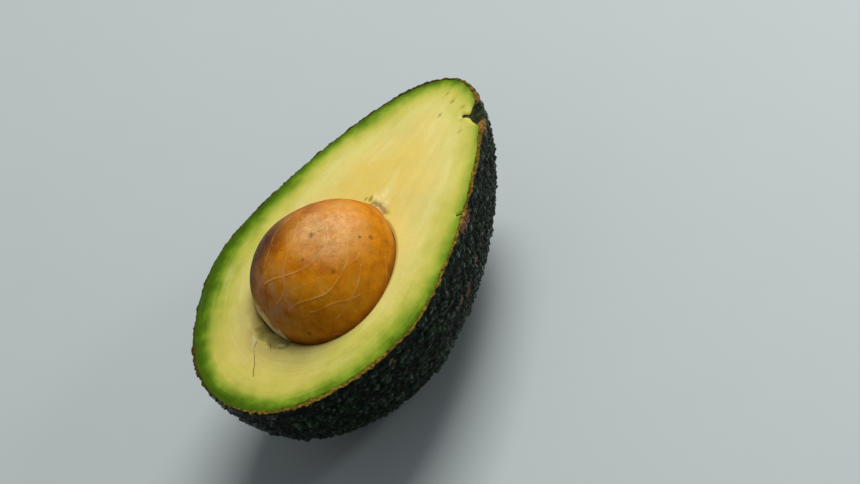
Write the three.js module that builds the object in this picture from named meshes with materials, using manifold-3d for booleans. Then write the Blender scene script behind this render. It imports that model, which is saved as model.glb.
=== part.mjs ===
// Half an avocado with its seed, lying on its back with the cut face up.
//
// Units are millimetres. +X points to the stem end, +Z out of the cut face, +Y across it.
// The origin is on the ground, under the middle of the fruit's length and width.
// Three pieces: the peel, the flesh with a hollow in it, and the seed seated in that hollow.

import * as THREE from 'three';
import { mergeVertices } from 'three/addons/utils/BufferGeometryUtils.js';
import Module from 'manifold-3d';

// ---------------------------------------------------------------- sizes of the fruit

const FRUIT_LENGTH = 96.6;         // blunt end to stem end, along the cut face
const FRUIT_WIDTH = 64.4;          // across the cut face at the belly
const FRUIT_DEPTH = 36.0;          // cut face to the lowest point of the back, before the flat
const REST_FLAT_DEPTH = 0.6;       // how much the fruit has settled flat where it rests

const PEEL_THICKNESS = 1.2;
const PEEL_TO_FLESH_GAP = 0.3;

// The outline of the cut face: two arcs that meet at the belly.
const BELLY_FROM_BLUNT_END = 36.5;
const BLUNT_END_FULLNESS = 20.4;   // length of the arc's handle at the blunt end, across
const BELLY_FULLNESS = 13.0;       // length of both handles at the belly, along
const STEM_END_FULLNESS = 17.2;    // length of the arc's handle at the stem end, across

// The outline of the back, seen from the side: two arcs that meet at the lowest point.
const LOWEST_FROM_BLUNT_END = 45.5;
const BACK_BLUNT_FULLNESS = 13.5;
const BACK_TO_BLUNT_HANDLE = 39.5;
const BACK_TO_STEM_HANDLE = 33.5;
const BACK_STEM_FULLNESS = 13.5;

// ---------------------------------------------------------------- sizes of the seed

const SEED_LENGTH = 37.4;          // along its own axis, base to tip
const SEED_WIDTH = 39.0;           // across its axis, level with the cut face
const SEED_HEIGHT = 32.4;          // across its axis, upright
const SEED_EGG = 0.19;             // how much slimmer the tip is than the base
const SEED_FROM_BLUNT_END = 39.4;
const SEED_OFF_CENTRE = -0.6;
const SEED_SINK = 1.3;             // depth of its middle below the cut face
const SEED_TURN_DEG = -23;         // its tip turns away from the fruit's long axis
const SEED_TILT_DEG = 25;          // and rises out of the cut face
const SEED_TO_FLESH_GAP = 0.3;

// ---------------------------------------------------------------- fineness of the surfaces

const BODY_STATIONS = 36;          // rings along the fruit
const BODY_SIDES = 64;             // corners round a whole ring
const SEED_STATIONS = 22;
const SEED_SIDES = 36;
const OUTLINE_SAMPLES = 240;

const FACE_HEIGHT = FRUIT_DEPTH - REST_FLAT_DEPTH;
const CUTTER_SIZE = 3 * FRUIT_LENGTH;  // larger than the fruit in every direction
const MERGE_DISTANCE = 1e-4;

const wasm = await Module();
wasm.setup();

// ---------------------------------------------------------------- solids

/** Turns a closed geometry into a solid that can be cut. */
function toSolid(geometry) {
  const bare = geometry.clone();
  bare.deleteAttribute('normal');
  bare.deleteAttribute('uv');
  const merged = mergeVertices(bare, MERGE_DISTANCE);
  return new wasm.Manifold(new wasm.Mesh({
    numProp: 3,
    vertProperties: Float32Array.from(merged.attributes.position.array),
    triVerts: Uint32Array.from(merged.index.array),
  }));
}

/** Turns a solid back into a geometry. */
function toGeometry(solid) {
  const mesh = solid.getMesh();
  const geometry = new THREE.BufferGeometry();
  geometry.setAttribute('position', new THREE.BufferAttribute(Float32Array.from(mesh.vertProperties), 3));
  geometry.setIndex(new THREE.BufferAttribute(Uint32Array.from(mesh.triVerts), 1));
  geometry.computeVertexNormals();
  return geometry;
}

/** Turns every triangle over if the closed geometry encloses a negative volume. */
function outward(geometry) {
  const position = geometry.attributes.position;
  const index = geometry.index;
  const a = new THREE.Vector3();
  const b = new THREE.Vector3();
  const c = new THREE.Vector3();
  let volume = 0;
  for (let i = 0; i < index.count; i += 3) {
    a.fromBufferAttribute(position, index.getX(i));
    b.fromBufferAttribute(position, index.getX(i + 1));
    c.fromBufferAttribute(position, index.getX(i + 2));
    volume += a.dot(b.cross(c)) / 6;
  }
  if (volume > 0) return geometry;
  for (let i = 0; i < index.count; i += 3) {
    const first = index.getX(i);
    index.setX(i, index.getX(i + 1));
    index.setX(i + 1, first);
  }
  return geometry;
}

/** A large block whose bottom lies at the height given. */
function blockAbove(height) {
  const block = new THREE.BoxGeometry(CUTTER_SIZE, CUTTER_SIZE, CUTTER_SIZE);
  block.translate(0, 0, height + CUTTER_SIZE / 2);
  return toSolid(block);
}

// ---------------------------------------------------------------- the fruit's outlines

/** Samples an outline of two arcs: from the blunt end up to its peak, and down to the stem end. */
function sampleOutline(length, peakAt, peak, handles) {
  const path = new THREE.CurvePath();
  path.add(new THREE.CubicBezierCurve(
    new THREE.Vector2(0, 0),
    new THREE.Vector2(0, handles.blunt),
    new THREE.Vector2(peakAt - handles.toBlunt, peak),
    new THREE.Vector2(peakAt, peak),
  ));
  path.add(new THREE.CubicBezierCurve(
    new THREE.Vector2(peakAt, peak),
    new THREE.Vector2(peakAt + handles.toStem, peak),
    new THREE.Vector2(length, handles.stem),
    new THREE.Vector2(length, 0),
  ));
  return path.getPoints(OUTLINE_SAMPLES);
}

/** The outline's height at a distance from the blunt end, read between its samples. */
function heightAt(outline, distance) {
  const next = outline.findIndex((point, i) => i > 0 && point.x >= distance);
  if (next < 0) return 0;
  const before = outline[next - 1];
  const after = outline[next];
  const span = after.x - before.x;
  const share = span > 0 ? (distance - before.x) / span : 0;
  return THREE.MathUtils.lerp(before.y, after.y, share);
}

/**
 * The whole fruit, before it is halved, with its surface moved in by an inset.
 * Each ring across it is an ellipse: as wide as the face's outline and as deep as the back's.
 */
function makeWholeFruit(inset) {
  const length = FRUIT_LENGTH - 2 * inset;
  const widthOutline = sampleOutline(length, BELLY_FROM_BLUNT_END - inset, FRUIT_WIDTH / 2 - inset, {
    blunt: BLUNT_END_FULLNESS,
    toBlunt: BELLY_FULLNESS,
    toStem: BELLY_FULLNESS,
    stem: STEM_END_FULLNESS,
  });
  const depthOutline = sampleOutline(length, LOWEST_FROM_BLUNT_END - inset, FRUIT_DEPTH - inset, {
    blunt: BACK_BLUNT_FULLNESS,
    toBlunt: BACK_TO_BLUNT_HANDLE,
    toStem: BACK_TO_STEM_HANDLE,
    stem: BACK_STEM_FULLNESS,
  });

  // Stations lie closer together towards both ends, where the surface turns fastest.
  const profile = [];
  for (let i = 0; i <= BODY_STATIONS; i += 1) {
    const distance = (length / 2) * (1 - Math.cos((Math.PI * i) / BODY_STATIONS));
    const isPole = i === 0 || i === BODY_STATIONS;
    profile.push(new THREE.Vector2(isPole ? 0 : 1, distance));
  }
  const geometry = new THREE.LatheGeometry(profile, BODY_SIDES);

  // The lathe turns round Y with a radius of 1: lay it along X and give each ring its two radii.
  const position = geometry.attributes.position;
  for (let i = 0; i < position.count; i += 1) {
    const distance = position.getY(i);
    const across = position.getX(i) * heightAt(widthOutline, distance);
    const upright = position.getZ(i) * heightAt(depthOutline, distance);
    position.setXYZ(i, distance + inset - FRUIT_LENGTH / 2, across, FACE_HEIGHT - upright);
  }
  return toSolid(outward(geometry));
}

/** The half below the cut face. */
function makeHalf(inset) {
  return makeWholeFruit(inset).subtract(blockAbove(FACE_HEIGHT));
}

// ---------------------------------------------------------------- the three pieces

/**
 * The seed, grown by a clearance: an egg turned round its own axis, with a slimmer tip,
 * then squashed to its height and set at its turn, tilt and place in the fruit.
 */
function makeEgg(clearance) {
  const halfLength = SEED_LENGTH / 2 + clearance;
  const profile = [];
  for (let i = 0; i <= SEED_STATIONS; i += 1) {
    const angle = (Math.PI * i) / SEED_STATIONS;
    const isPole = i === 0 || i === SEED_STATIONS;
    const radius = isPole ? 0 : Math.sin(angle) * (1 + SEED_EGG * Math.cos(angle));
    profile.push(new THREE.Vector2(radius, -halfLength * Math.cos(angle)));
  }
  const geometry = new THREE.LatheGeometry(profile, SEED_SIDES);
  geometry.scale(SEED_WIDTH / 2 + clearance, 1, SEED_HEIGHT / 2 + clearance);
  geometry.rotateZ(-Math.PI / 2);
  geometry.rotateY(-THREE.MathUtils.degToRad(SEED_TILT_DEG));
  geometry.rotateZ(THREE.MathUtils.degToRad(SEED_TURN_DEG));
  geometry.translate(SEED_FROM_BLUNT_END - FRUIT_LENGTH / 2, SEED_OFF_CENTRE, FACE_HEIGHT - SEED_SINK);
  return outward(geometry);
}

/** The peel: the half's outer surface less its inside, worn flat where it meets the ground. */
function makeSkin() {
  const shell = makeHalf(0).subtract(makeWholeFruit(PEEL_THICKNESS));
  return toGeometry(shell.intersect(blockAbove(0)));
}

/** The flesh: what the peel holds, less the hollow that the seed sits in. */
function makeFlesh() {
  const body = makeHalf(PEEL_THICKNESS + PEEL_TO_FLESH_GAP);
  return toGeometry(body.subtract(toSolid(makeEgg(SEED_TO_FLESH_GAP))));
}

function makeSeed() {
  return toGeometry(toSolid(makeEgg(0)));
}

/** A named piece with its own finish. */
function makePiece(name, geometry, finish) {
  const piece = new THREE.Mesh(geometry, new THREE.MeshStandardMaterial(finish));
  piece.name = name;
  return piece;
}

const avocado = new THREE.Group();
avocado.name = 'avocado_half';
avocado.add(makePiece('skin', makeSkin(), { color: 0x1d2a1c, roughness: 0.45, metalness: 0 }));
avocado.add(makePiece('flesh', makeFlesh(), { color: 0xd2cf78, roughness: 0.5, metalness: 0 }));
avocado.add(makePiece('seed', makeSeed(), { color: 0x9a5a1e, roughness: 0.35, metalness: 0 }));

export default avocado;
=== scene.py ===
import math

import bpy
import numpy as np
from mathutils import Matrix, Vector


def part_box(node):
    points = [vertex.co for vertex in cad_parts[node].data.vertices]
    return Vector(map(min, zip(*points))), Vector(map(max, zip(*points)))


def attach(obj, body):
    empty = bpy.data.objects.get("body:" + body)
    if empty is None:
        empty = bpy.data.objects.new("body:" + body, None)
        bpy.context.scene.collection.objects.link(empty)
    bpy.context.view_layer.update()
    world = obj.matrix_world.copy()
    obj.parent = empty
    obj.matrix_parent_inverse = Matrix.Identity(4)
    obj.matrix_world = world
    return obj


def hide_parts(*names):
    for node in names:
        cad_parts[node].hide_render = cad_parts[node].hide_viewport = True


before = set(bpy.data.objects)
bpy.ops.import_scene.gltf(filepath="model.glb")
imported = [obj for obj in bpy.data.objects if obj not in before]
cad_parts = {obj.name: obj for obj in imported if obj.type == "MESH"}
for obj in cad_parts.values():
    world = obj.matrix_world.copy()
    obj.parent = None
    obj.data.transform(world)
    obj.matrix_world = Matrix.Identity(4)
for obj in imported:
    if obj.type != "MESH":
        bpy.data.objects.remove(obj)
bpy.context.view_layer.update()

# Half an avocado cut lengthways, with its seed in place, lying on its skin with the cut face up.
# +X is the stem end, +Y runs across, +Z points out of the cut face.  Lengths are metres.

MM = 0.001
skin_low, skin_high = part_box("skin")

# ------------------------ sizes of the fruit

FACE = skin_high.z
FRUIT_LENGTH = skin_high.x - skin_low.x
HALF_WIDTH = (skin_high.y - skin_low.y) / 2
REST_FLAT_DEPTH = 0.6 * MM
FRUIT_DEPTH = FACE + REST_FLAT_DEPTH

BELLY_FROM_BLUNT_END = 36.5 * MM
BLUNT_END_FULLNESS = 20.4 * MM
BELLY_FULLNESS = 13.0 * MM
STEM_END_FULLNESS = 17.2 * MM
LOWEST_FROM_BLUNT_END = 45.5 * MM
BACK_BLUNT_FULLNESS = 13.5 * MM
BACK_TO_BLUNT_HANDLE = 39.5 * MM
BACK_TO_STEM_HANDLE = 33.5 * MM
BACK_STEM_FULLNESS = 13.5 * MM
LOWEST_X = skin_low.x + LOWEST_FROM_BLUNT_END

PEEL_RIM = 0.70 * MM
PEEL_RIM_SPREAD = 0.36 * MM
THINNEST_RIM = 0.3 * MM
PEEL_THICKNESS = 1.2 * MM
PEEL_TO_FLESH_GAP = 0.1 * MM

STEM_HOLLOW_AT = np.array([42.2, -11.9]) * MM
STEM_HOLLOW_RADIUS = 4.8 * MM
STEM_HOLLOW_INSET = 2.2 * MM
STEM_HOLLOW_DROP = 1.2 * MM

SEED_LENGTH = 36.9 * MM
SEED_WIDTH = 38.3 * MM
SEED_HEIGHT = 32.1 * MM
SEED_EGG = 0.19
SEED_AT = np.array([skin_low.x + 39.3 * MM, -0.4 * MM, FACE - 1.3 * MM])
SEED_TURN = math.radians(-23)
SEED_TILT = math.radians(25)
SEED_CLEARANCE = -0.10 * MM
SEED_COAT_SINK = 0.12 * MM
SEED_BASE_GAP = 0.32 * MM
SEED_BASE_BEARING = math.radians(170)

SEED_FLAT_FACES = np.array([-0.972, 0.02, 0.234])
SEED_FLAT_DEPTH = 1.1 * MM
SEED_FLAT_KEEP = 0.2
EGG_HALVINGS = 24

# ------------------------ noise on whole arrays

CORNERS = np.array([(i, j, k) for i in (0, 1) for j in (0, 1) for k in (0, 1)])
NEIGHBOURS = np.array([(i, j, k) for i in (-1, 0, 1) for j in (-1, 0, 1) for k in (-1, 0, 1)])


def cell_number(cells, seed):
    """A fixed number from 0 to 1 for each cell of a lattice: its three whole numbers are multiplied by large
    odd numbers, mixed by exclusive or and by shifts, and the lowest 24 bits are kept."""
    mixed = (cells[..., 0] * 73856093) ^ (cells[..., 1] * 19349663) ^ (cells[..., 2] * 83492791)
    mixed = mixed ^ (seed * 40503 + 977)
    mixed = (mixed ^ (mixed >> 13)) * 1274126177
    mixed = mixed ^ (mixed >> 16)
    return (mixed & 0xFFFFFF) / 0xFFFFFF


def soft_noise(points, grain, seed):
    """Smooth noise from -1 to 1 with swells about `grain` across: numbers at a lattice's corners, blended
    inside each cell by 3t^2 - 2t^3 along each axis."""
    place = points / grain
    corner = np.floor(place).astype(np.int64)
    part = place - corner
    part = part * part * (3 - 2 * part)
    total = np.zeros(points.shape[:-1])
    for step in CORNERS:
        weight = np.prod(np.where(step == 1, part, 1 - part), axis=-1)
        total += weight * cell_number(corner + step, seed)
    return total * 2 - 1


def cells_near(points, grain, seed):
    """Scattered centres, one to each lattice cell of size `grain`: the distance to the nearest, the distance
    to the next, both in grains, and a number from 0 to 1 that belongs to the nearest."""
    place = points / grain
    corner = np.floor(place).astype(np.int64)
    nearest = np.full(points.shape[:-1], 9.0)
    second = nearest.copy()
    own = np.zeros(points.shape[:-1])
    for step in NEIGHBOURS:
        cell = corner + step
        shift = np.stack([cell_number(cell, seed + axis) for axis in range(3)], axis=-1)
        gap = np.linalg.norm(place - cell - 0.1 - 0.8 * shift, axis=-1)
        closer = gap < nearest
        second = np.where(closer, nearest, np.minimum(second, gap))
        own = np.where(closer, cell_number(cell, seed + 7), own)
        nearest = np.minimum(nearest, gap)
    return nearest, second, own


def ease(value, low, high):
    """0 below `low`, 1 above `high`, and 3t^2 - 2t^3 between them; it falls if high is below low."""
    t = np.clip((value - low) / (high - low), 0, 1)
    return t * t * (3 - 2 * t)


def lift(points, height=0.0):
    """Points of the plane as points of space at one height."""
    return np.concatenate([points, np.full(points.shape[:-1] + (1,), height)], axis=-1)


# ------------------------ shared outlines

def half_profile(peak_at, peak, blunt, to_blunt, to_stem, stem, steps=600):
    """Distance from the blunt end, and reach from the axis: two cubic Bezier curves that leave the axis
    square at each end and meet level at the peak."""
    t = np.linspace(0, 1, steps)[:, None]
    weights = [(1 - t) ** 3, 3 * t * (1 - t) ** 2, 3 * t * t * (1 - t), t ** 3]
    blunt_part = [(0, 0), (0, blunt), (peak_at - to_blunt, peak), (peak_at, peak)]
    stem_part = [(peak_at, peak), (peak_at + to_stem, peak), (FRUIT_LENGTH, stem), (FRUIT_LENGTH, 0)]
    first = sum(w * np.array(p) for w, p in zip(weights, blunt_part))
    last = sum(w * np.array(p) for w, p in zip(weights, stem_part))
    return np.concatenate([first, last[1:]])


WIDTHS = half_profile(
    BELLY_FROM_BLUNT_END, HALF_WIDTH, BLUNT_END_FULLNESS, BELLY_FULLNESS, BELLY_FULLNESS, STEM_END_FULLNESS
)
DEPTHS = half_profile(
    LOWEST_FROM_BLUNT_END, FRUIT_DEPTH, BACK_BLUNT_FULLNESS, BACK_TO_BLUNT_HANDLE, BACK_TO_STEM_HANDLE,
    BACK_STEM_FULLNESS,
)


def half_width(x):
    """The cut face's half width at each place along the fruit."""
    return np.interp(x - skin_low.x, WIDTHS[:, 0], WIDTHS[:, 1])


def outline(count):
    """The cut face's outline, anticlockwise from the stem end, as evenly spaced points and outward normals:
    the width profile and its mirror image, walked by length."""
    side = WIDTHS * [1, 1] + [skin_low.x, 0]
    loop = np.concatenate([side[::-1], side[1:] * [1, -1]])
    walked = np.concatenate([[0], np.cumsum(np.linalg.norm(np.diff(loop, axis=0), axis=1))])
    stops = np.linspace(0, walked[-1], count, endpoint=False)
    points = np.stack([np.interp(stops, walked, loop[:, axis]) for axis in (0, 1)], axis=-1)
    along = np.roll(points, -1, axis=0) - np.roll(points, 1, axis=0)
    along /= np.linalg.norm(along, axis=1, keepdims=True)
    return points, np.stack([along[:, 1], -along[:, 0]], axis=-1)


def back_surface(rim, rim_normals, angles):
    """The smooth back of the half, one ring for each angle from 0 at the rim to 90 degrees at the bottom:
    the rim drawn towards the lowest point by cos(angle), dropped to an elliptical cross-section.
    Gives the rings and their outward normals."""
    shrink = np.cos(angles)[:, None]
    x = LOWEST_X + shrink * (rim[:, 0] - LOWEST_X)
    y = shrink * rim[:, 1]
    half = half_width(x)
    depth = np.interp(x - skin_low.x, DEPTHS[:, 0], DEPTHS[:, 1])
    across = np.clip(y / np.maximum(half, 1e-9), -1, 1)
    drop = depth * np.sqrt(1 - across ** 2)
    drop[angles == 0] = 0
    rings = np.stack([x, y, FACE - drop], axis=-1)
    round_way = np.roll(rings, -1, axis=1) - np.roll(rings, 1, axis=1)
    up_way = -np.gradient(rings, axis=0)
    normals = np.cross(round_way, up_way)
    normals /= np.maximum(np.linalg.norm(normals, axis=-1, keepdims=True), 1e-12)
    normals[angles == 0] = lift(rim_normals)
    return rings, normals


def stem_hollow(points):
    """1 at the middle of the little hollow where the stem came off, falling to 0 at its edge as 1 - r^2."""
    away = np.linalg.norm(points[..., :2] - STEM_HOLLOW_AT, axis=-1) / STEM_HOLLOW_RADIUS
    return np.clip(1 - away ** 2, 0, 1)


def peel_width(rim):
    """Width of the peel's cut edge round the rim: ragged by noise, wider on the near side, and far wider at
    the stem hollow."""
    spread = 0.6 * soft_noise(lift(rim), 5 * MM, 11) + 0.5 * soft_noise(lift(rim), 1.3 * MM, 12)
    near = ease(-rim[:, 1], -10 * MM, 25 * MM)
    plain = PEEL_RIM * (0.6 + 1.1 * near) + PEEL_RIM_SPREAD * (0.6 + 0.9 * near) * spread
    return np.maximum(plain, THINNEST_RIM) + STEM_HOLLOW_INSET * stem_hollow(rim) ** 1.5


def face_drop(points):
    """How far the cut surface lies below the face's plane at the stem hollow."""
    return STEM_HOLLOW_DROP * stem_hollow(points)


# ------------------------ the seed's egg

def turn_matrix():
    """The seed's own axes in the fruit's: its tip raised by the tilt, then turned about the upright."""
    c, s = math.cos(SEED_TILT), math.sin(SEED_TILT)
    tilt = np.array([[c, 0, -s], [0, 1, 0], [s, 0, c]])
    c, s = math.cos(SEED_TURN), math.sin(SEED_TURN)
    turn = np.array([[c, -s, 0], [s, c, 0], [0, 0, 1]])
    return turn @ tilt


SEED_AXES = turn_matrix()
SEED_HALVES = np.array([SEED_LENGTH, SEED_WIDTH, SEED_HEIGHT]) / 2


def egg_points(from_base, around):
    """Points of the smooth egg in its own axes: -cos(a) along it, and sin(a)(1 + egg cos(a)) round it."""
    from_base, around = np.broadcast_arrays(from_base, around)
    radius = np.sin(from_base) * (1 + SEED_EGG * np.cos(from_base))
    unit = np.stack([-np.cos(from_base), radius * np.cos(around), radius * np.sin(around)], axis=-1)
    return unit * SEED_HALVES


def flatten_base(points):
    """Presses the egg's base almost flat: what reaches past a plane keeps only a small share of that height.
    Gives the points and how far each lay past the plane."""
    towards = SEED_FLAT_FACES / np.linalg.norm(SEED_FLAT_FACES)
    sample = egg_points(np.linspace(0, math.pi / 2, 90)[:, None], np.linspace(0, 2 * math.pi, 90)[None, :])
    past = points @ towards - (np.max(sample @ towards) - SEED_FLAT_DEPTH)
    pressed = np.maximum(past, 0) * (1 - SEED_FLAT_KEEP)
    return points - pressed[..., None] * towards, past


def egg_level(points):
    """Below 0 inside the egg and above 0 outside it, for points about the seed's middle in the fruit's axes:
    the squared reach from the egg's axis, less the square that the egg allows there."""
    own = points @ SEED_AXES / SEED_HALVES
    along = np.clip(own[..., 0], -1, 1)
    allowed = (1 - along ** 2) * (1 - SEED_EGG * along) ** 2
    outside = np.abs(own[..., 0]) >= 1
    return np.where(outside, 1.0, own[..., 1] ** 2 + own[..., 2] ** 2 - allowed)


def egg_reach(start, direction):
    """Distance from a start inside the egg to its surface along each direction, by halving a stretch."""
    low = np.zeros(direction.shape[:-1])
    high = np.full(direction.shape[:-1], SEED_WIDTH)
    for _ in range(EGG_HALVINGS):
        middle = (low + high) / 2
        inside = egg_level(start + middle[..., None] * direction) < 0
        low = np.where(inside, middle, low)
        high = np.where(inside, high, middle)
    return low


# ------------------------ meshes

def with_poles(values, first, last):
    """Ring values laid out flat, with the two poles' values added."""
    tail = values.shape[2:]
    ends = np.array([first, last], float).reshape((2,) + tail)
    return np.concatenate([values.reshape((-1,) + tail), ends])


def ring_mesh(name, rings, first_pole, last_pole, fields):
    """A closed mesh of rings, each joined to the next and to itself, with a fan to a pole at each end.
    The rings run so that a step round, crossed with a step along, points out.  `fields` are attributes:
    the rings' values, or triples, and those of the first and the last pole."""
    rows, columns = rings.shape[:2]
    points = np.concatenate([rings.reshape(-1, 3), [first_pole, last_pole]])
    index = np.arange(rows * columns).reshape(rows, columns)
    after = np.roll(index, -1, axis=1)
    quads = np.stack([index[:-1], after[:-1], after[1:], index[1:]], axis=-1).reshape(-1, 4)
    start, end = rows * columns, rows * columns + 1
    opening = np.stack([np.full(columns, start), after[0], index[0]], axis=-1)
    closing = np.stack([np.full(columns, end), index[-1], after[-1]], axis=-1)
    mesh = bpy.data.meshes.new(name)
    mesh.from_pydata(points.tolist(), [], quads.tolist() + opening.tolist() + closing.tolist())
    mesh.polygons.foreach_set("use_smooth", np.ones(len(mesh.polygons), bool))
    for field, (values, at_first, at_last) in fields.items():
        flat = with_poles(values, at_first, at_last).astype(np.float32)
        kind, slot = ("FLOAT_VECTOR", "vector") if flat.ndim == 2 else ("FLOAT", "value")
        layer = mesh.attributes.new(field, kind, "POINT")
        layer.data.foreach_set(slot, flat.reshape(-1))
    mesh.update()
    piece = bpy.data.objects.new(name, mesh)
    bpy.context.scene.collection.objects.link(piece)
    return piece


def line_gap(points, route):
    """Shortest distance from each point to a bent line through the route's points."""
    best = np.full(points.shape[:-1], 1.0)
    for start, end in zip(route[:-1], route[1:]):
        run = end - start
        share = np.clip((points - start) @ run / (run @ run), 0, 1)
        gap = np.linalg.norm(points - start - share[..., None] * run, axis=-1)
        best = np.minimum(best, gap)
    return best


def smooth_route(stops, steps=8):
    """A Catmull-Rom curve through the stops: each stretch blends its four nearest stops by cubics."""
    stops = np.asarray(stops, float)
    padded = np.concatenate([[2 * stops[0] - stops[1]], stops, [2 * stops[-1] - stops[-2]]])
    t = np.linspace(0, 1, steps, endpoint=False)[:, None]
    parts = []
    for k in range(len(stops) - 1):
        a, b, c, d = padded[k:k + 4]
        parts.append(0.5 * (2 * b + (c - a) * t + (2 * a - 5 * b + 4 * c - d) * t ** 2
                            + (3 * b - a - 3 * c + d) * t ** 3))
    return np.concatenate(parts + [stops[-1:]])


# ------------------------ marks on the surfaces

SPOT_PULL = np.array([0.75, 1.25])


def soft_dot(gap):
    """1 up to 0.3 radii from a middle, falling evenly to 0 at 1.3 radii."""
    return np.clip(1.3 - gap, 0, 1)


def spots(points, places):
    """A soft dot at each place (x, y, radius in mm) of the plane, a third longer along the fruit than its
    radius and a fifth narrower across."""
    best = np.zeros(points.shape[:-1])
    for x, y, radius in places:
        away = (points[..., :2] - np.array([x, y]) * MM) * SPOT_PULL / (radius * MM)
        best = np.maximum(best, soft_dot(np.linalg.norm(away, axis=-1)))
    return best


def side_gap(points, route):
    """Distance in mm from the face's points to a route: positive on its left, negative on its right."""
    route = smooth_route(route) * MM
    best = np.full(points.shape[:-1], 1.0)
    signed = best.copy()
    for start, end in zip(route[:-1], route[1:]):
        run = end - start
        away = points[..., :2] - start
        share = np.clip(away @ run / (run @ run), 0, 1)
        gap = np.linalg.norm(away - share[..., None] * run, axis=-1)
        side = np.sign(run[0] * away[..., 1] - run[1] * away[..., 0])
        signed = np.where(gap < best, gap * side, signed)
        best = np.minimum(best, gap)
    return signed / MM


def nearer(first, second):
    """Of two signed distances, the one with the smaller size."""
    return np.where(np.abs(first) < np.abs(second), first, second)


def groove(points, route, width):
    """1 along a route (mm) on the face, falling evenly to 0 at `width` mm to each side."""
    return np.clip(1 - line_gap(points[..., :2], smooth_route(route) * MM) / (width * MM), 0, 1)


# ------------------------ peel

PEEL_COLUMNS = 680
PEEL_BACK_ROWS = 118
PEEL_STRIP_ROWS = 8
PEEL_INNER_ROWS = 8
PEBBLE_GRAIN = 2.15 * MM
PEBBLE_HEIGHT = 1.5 * MM
PEBBLE_SWAY = 0.9 * MM
PEBBLE_STRETCH = 0.42
DOME_RADIUS = 0.85
SMALL_SET_APART = 13 * MM
SKIN_SWELL = 0.35 * MM
SKIN_GRIT = 0.14 * MM
THINNEST_BOTTOM = 0.8 * MM

# Routes of brown scars over the skin with their half widths, and places of cork with their radii, in mm.
SCARS = [
    ([(9.2, -25.8, 22.1), (10.3, -25.6, 23.0), (11.4, -25.4, 24.0)], 0.75),
    ([(3.0, -27.0, 20.1), (4.4, -26.8, 21.2), (5.7, -26.6, 22.3)], 0.85),
    ([(0.2, -28.2, 21.7), (1.4, -28.0, 22.8)], 0.6),
    ([(-23.6, -29.6, 32.4), (-22.8, -29.9, 32.9)], 0.5),
    ([(12.6, -27.0, 34.4), (14.4, -26.2, 34.6), (16.0, -25.4, 34.3)], 1.5),
    ([(-20.0, 24.0, 14.0), (-16.0, 25.0, 15.0), (-13.0, 24.5, 17.0)], 0.8),
    ([(14.0, 22.0, 20.0), (18.0, 20.5, 22.0)], 0.7),
]
CORK = [(44.9, -7.6, 1.3), (39.0, -13.3, 1.1), (37.6, -14.6, 1.1)]


def domes(points, grain, seed):
    """Rounded tops from 0 to 1 over scattered cells, with creases between them, and each cell's number: the
    square root of 1 - r^2 about a cell's centre, faded where the next centre is as near."""
    nearest, second, own = cells_near(points, grain, seed)
    dome = np.sqrt(np.clip(1 - (nearest / DOME_RADIUS) ** 2, 0, 1))
    return dome * ease(second - nearest, -0.05, 0.4), own


def pebbles(points):
    """Height from 0 to 1 and tone of the skin's pebbles: scattered cells rise to rounded tops with creases
    between them, longer towards the blunt end, with a second, smaller set over the first."""
    sway = np.stack([soft_noise(points, 6 * MM, 20 + axis) for axis in range(3)], axis=-1)
    blunt = ease(points[..., 0], 30 * MM, -25 * MM)
    pulled = points + PEBBLE_SWAY * sway
    pulled[..., 0] *= 1 - PEBBLE_STRETCH * blunt
    big, tone = domes(pulled, PEBBLE_GRAIN, 31)
    small, _ = domes(pulled + SMALL_SET_APART, 0.5 * PEBBLE_GRAIN, 41)
    return 0.66 * (big * (0.45 + 0.55 * tone)) + 0.34 * small, tone


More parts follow.
